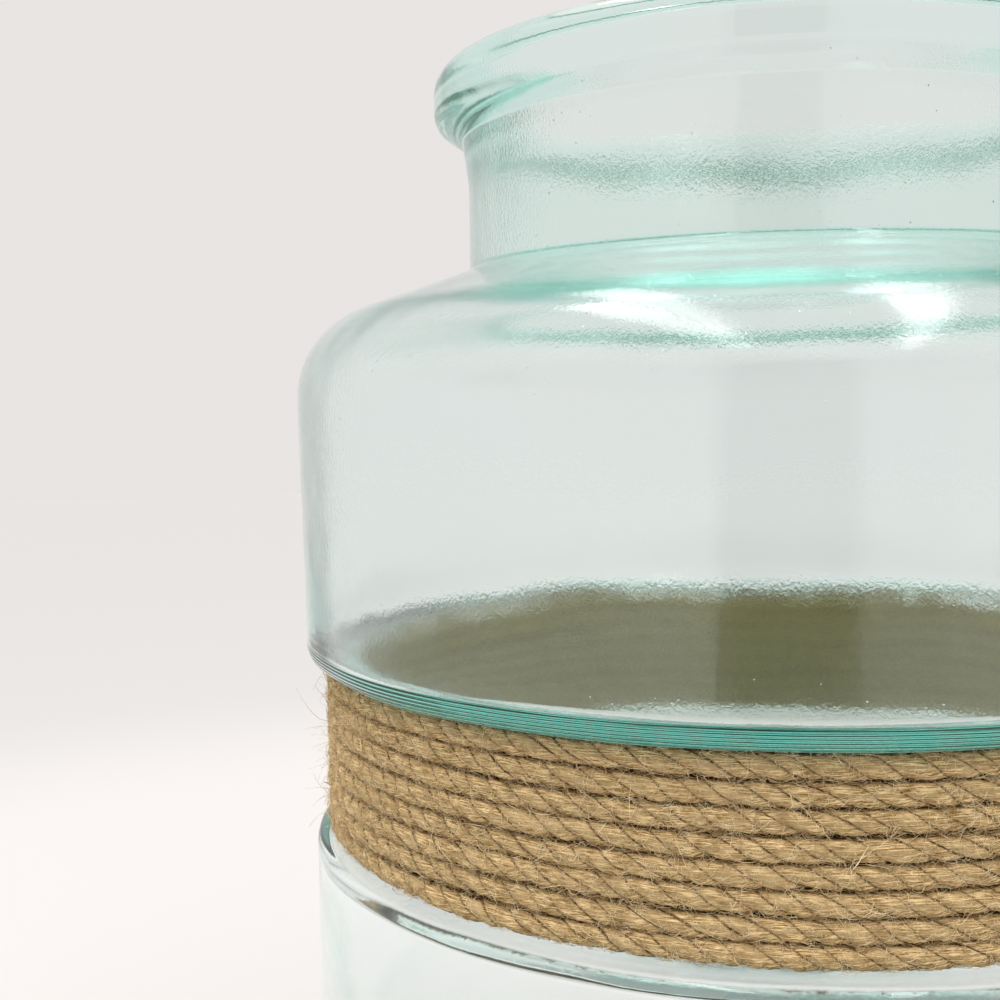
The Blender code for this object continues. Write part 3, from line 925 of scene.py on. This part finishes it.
def fibre_tubes(paths, thickness):
    """Thin tapered tubes along paths, as (tube, ring, side, coordinate)."""
    along = np.gradient(paths, axis=1)
    along /= np.linalg.norm(along, axis=2)[:, :, None] + NEVER_ZERO
    across = np.cross(along, np.array(FIBRE_SLANT))
    across /= np.linalg.norm(across, axis=2)[:, :, None] + NEVER_ZERO
    other = np.cross(along, across)
    share = np.linspace(0.0, 1.0, paths.shape[1])
    width = thickness[:, None] * (1.0 - FIBRE_TAPER * share[None, :])
    angle = np.arange(FIBRE_SIDES) * math.tau / FIBRE_SIDES
    ring = (np.cos(angle)[None, None, :, None] * across[:, :, None, :]
            + np.sin(angle)[None, None, :, None] * other[:, :, None, :])
    return paths[:, :, None, :] + width[:, :, None, None] * ring


def long_fibre_paths():
    """Points of the long loose fibres at the left."""
    share = np.linspace(0.0, 1.0, FIBRE_POINTS)
    paths = []
    for angle, height, out, turn, rise in LONG_FIBRES:
        bearing = math.radians(angle)
        away = np.array([math.cos(bearing), math.sin(bearing), 0.0])
        across = np.array([-math.sin(bearing), math.cos(bearing), 0.0])
        start = away * (ROPE_CENTRE_RADIUS + ROPE_RADIUS - FIBRE_ROOT) + np.array([0.0, 0.0, height * MM])
        bend = np.outer(share ** LONG_FIBRE_OUT_POWER * out, away)
        bend += np.outer(np.sin(LONG_FIBRE_SWAY * share) * turn, across)
        bend[:, 2] += share ** LONG_FIBRE_RISE_POWER * rise
        paths.append(start + bend * MM)
    return np.array(paths)


def make_fibres(line):
    """The fuzz that lies on the rope, curly strays, flat splinters and fibres that stand away from it."""
    draw = np.random.default_rng(FIBRE_SEED)
    tubes = []
    for count, length, lift, spread, curl, reach_out, thickness in FIBRE_KINDS:
        ranges = [tuple(value * MM for value in pair) for pair in (length, lift, reach_out, thickness)]
        paths = fibre_paths(line, draw, count, ranges[0], ranges[1], spread, curl, ranges[2])
        tubes.append(fibre_tubes(paths, draw.uniform(*ranges[3], count)))
    tubes.append(fibre_tubes(long_fibre_paths(), np.full(len(LONG_FIBRES), LONG_FIBRE_RADIUS)))
    fibres = new_object("rope_fibres", tubes_mesh("rope_fibres", np.concatenate(tubes)))
    fibres.data.materials.append(make_fibre_material("jute_fibre"))
    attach(fibres, "planter")


def make_floor():
    """A wide pale floor, white round the vase and grey further off, from a painted glow that is stronger
    round the vase.
    """
    bpy.ops.mesh.primitive_circle_add(vertices=FLOOR_SIDES, radius=FLOOR_RADIUS, fill_type="NGON")
    floor = bpy.context.object
    floor.name = "studio_floor"
    material, tree, output = new_material("studio_floor")
    surface = new_surface(tree, output, FLOOR_ROUGHNESS)
    surface.inputs["Base Color"].default_value = FLOOR_PAINT
    surface.inputs["Specular IOR Level"].default_value = 0.0
    # Painted light: the floor glows where it is seen, more round the vase than further off
    fade = ranged(tree, length_of(tree, object_place(tree)), FLOOR_FADE_START, FLOOR_FADE_END)
    glow = mixed_colour(tree, fade, FLOOR_GLOW_NEAR, FLOOR_GLOW_FAR)
    tree.links.new(glow, surface.inputs["Emission Color"])
    tree.links.new(seen_rays(tree), surface.inputs["Emission Strength"])
    floor.data.materials.append(material)


def make_world():
    """A pale room all round, which lights things most from above."""
    world = bpy.data.worlds.new("studio")
    bpy.context.scene.world = world
    world.use_nodes = True
    background = world.node_tree.nodes["Background"]
    background.inputs["Color"].default_value = WORLD_COLOUR
    tree = world.node_tree
    upward = part_of(tree, add_node(tree, "ShaderNodeTexCoord").outputs["Generated"], "Z")
    light = ranged(tree, upward, 0.0, 1.0, WORLD_LIGHT_LEVEL, WORLD_LIGHT_ABOVE)
    seen = seen_rays(tree)
    unseen = math_node(tree, "SUBTRACT", 1.0, seen)
    strength = math_node(tree, "ADD", math_node(tree, "MULTIPLY", light, unseen), seen)
    tree.links.new(strength, background.inputs["Strength"])


def make_strip_light(name, place, slant):
    """A long soft light overhead, as in a light tent."""
    data = bpy.data.lights.new(name, "AREA")
    data.shape = "RECTANGLE"
    data.size = STRIP_WIDTH
    data.size_y = STRIP_LENGTH
    data.energy = STRIP_RADIANCE * math.pi * STRIP_WIDTH * STRIP_LENGTH
    light = new_object(name, data)
    across, along = place
    light.location = (across * STRIP_HEIGHT, along * STRIP_HEIGHT, HEEL_LEVEL + STRIP_HEIGHT)
    light.rotation_euler = (0.0, 0.0, math.atan(slant))
    light.visible_camera = False


def make_lights():
    """Two overhead strips that run away from the camera, left and right of the vase."""
    make_strip_light("strip_left", STRIP_LEFT_PLACE, STRIP_LEFT_SLANT)
    make_strip_light("strip_right", STRIP_RIGHT_PLACE, STRIP_RIGHT_SLANT)


def opening_material(name):
    """Dark at the left and grey further right where a surface reflects it, and clear otherwise."""
    material, tree, output = new_material(name)
    dark = add_node(tree, "ShaderNodeEmission")
    grey = ranged(tree, part_of(tree, object_place(tree), "X"), OPENING_GREY_START, OPENING_GREY_FULL)
    tree.links.new(mixed_colour(tree, grey, OPENING_DARK, OPENING_GREY), dark.inputs["Color"])
    clear = add_node(tree, "ShaderNodeBsdfTransparent")
    mix = add_node(tree, "ShaderNodeMixShader")
    path = add_node(tree, "ShaderNodeLightPath")
    reflected = math_node(tree, "GREATER_THAN", path.outputs["Glossy Depth"], HALF_BOUNCE)
    early = math_node(tree, "LESS_THAN", path.outputs["Ray Depth"], OPENING_RAY_DEPTH + HALF_BOUNCE)
    tree.links.new(math_node(tree, "MULTIPLY", reflected, early), mix.inputs["Fac"])
    tree.links.new(clear.outputs["BSDF"], mix.inputs[1])
    tree.links.new(dark.outputs["Emission"], mix.inputs[2])
    tree.links.new(mix.outputs["Shader"], output.inputs["Surface"])
    return material


def make_front_opening():
    """The dark front of the light tent, which shows only where the glass reflects it."""
    bpy.ops.mesh.primitive_plane_add(size=1.0)
    opening = bpy.context.object
    opening.name = "tent_opening"
    width = OPENING_RIGHT - OPENING_LEFT
    height = OPENING_TOP - OPENING_BOTTOM
    middle = Vector(((OPENING_LEFT + OPENING_RIGHT) / 2, OPENING_PLACE, (OPENING_TOP + OPENING_BOTTOM) / 2))
    upright = Matrix.Rotation(math.pi / 2, 4, "X")
    opening.matrix_world = Matrix.Translation(middle) @ upright @ Matrix.Diagonal((width, height, 1.0, 1.0))
    opening.data.materials.append(opening_material("tent_opening"))
    opening.visible_camera = False
    opening.visible_diffuse = False
    opening.visible_shadow = False


def make_camera():
    """The camera that took the photograph."""
    data = bpy.data.cameras.new("camera")
    data.lens = CAMERA_LENS
    data.sensor_width = CAMERA_SENSOR
    data.clip_start = CAMERA_NEAR_CLIP
    camera = new_object("camera", data)
    level = math.cos(CAMERA_PITCH)
    forward = Vector((math.sin(CAMERA_YAW) * level, math.cos(CAMERA_YAW) * level, -math.sin(CAMERA_PITCH)))
    right = Vector((math.cos(CAMERA_YAW), -math.sin(CAMERA_YAW), 0.0))
    up = right.cross(forward)
    turned_right = right * math.cos(CAMERA_ROLL) + up * math.sin(CAMERA_ROLL)
    turned_up = up * math.cos(CAMERA_ROLL) - right * math.sin(CAMERA_ROLL)
    turn = Matrix((turned_right, turned_up, -forward)).transposed()
    camera.matrix_world = Matrix.Translation(CAMERA_PLACE) @ turn.to_4x4()
    bpy.context.scene.camera = camera


def set_render_look():
    """Plain colours, and enough bounces for light that runs along inside the glass."""
    scene = bpy.context.scene
    scene.view_settings.view_transform = "Standard"
    scene.cycles.max_bounces = LIGHT_BOUNCES
    scene.cycles.transmission_bounces = LIGHT_BOUNCES
    scene.cycles.glossy_bounces = GLOSSY_BOUNCES


make_camera()
make_vessels()
rope_line = RopeLine()
make_rope(rope_line)
make_fibres(rope_line)
make_floor()
make_world()
make_lights()
make_front_opening()
set_render_look()
